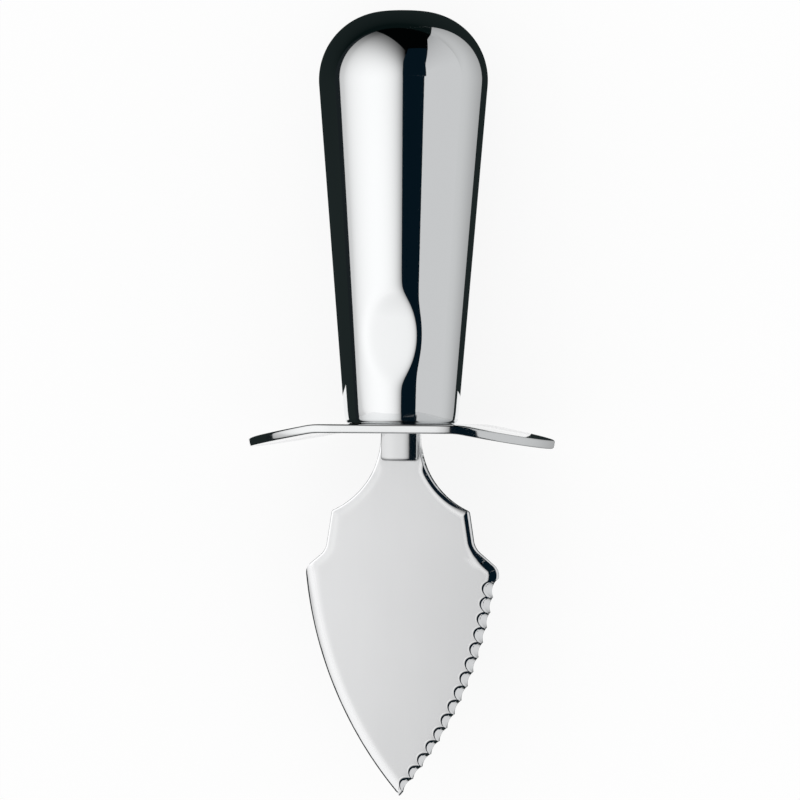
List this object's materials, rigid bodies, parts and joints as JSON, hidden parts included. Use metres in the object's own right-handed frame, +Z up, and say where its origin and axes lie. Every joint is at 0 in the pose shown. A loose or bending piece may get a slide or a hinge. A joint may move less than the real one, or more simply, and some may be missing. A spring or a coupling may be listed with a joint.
{
  "type": "oyster knife",
  "caption": "Polished metal oyster knife with a bulb-ended hollow handle, thumb dimple, bent oval guard and a leaf-shaped blade, plain on one edge and scalloped on the other.",
  "frame": {"origin": "on the ground below the middle of the knife's bounding box, as it lies on its back", "axes": "+X towards the blade's tip, +Z up, which is the front with the thumb dimple, +Y towards the scalloped edge. The axis of the handle rises 3.3 degrees towards the blade, because the knife rests on the guard's rim and the butt"},
  "size_m": [0.165, 0.065, 0.044],
  "materials": {
    "polished_steel": "mirror polished stainless steel",
    "blade_steel": "polished stainless steel with ground scallops",
    "filler": "cast filler, hidden"
  },
  "bodies": {
    "root": {"handle_front_half": "polished_steel", "handle_back_half": "polished_steel", "handle_end_plate": "polished_steel", "handle_filling": "filler", "guard": "polished_steel", "blade": "blade_steel"}
  },
  "joints": []
}
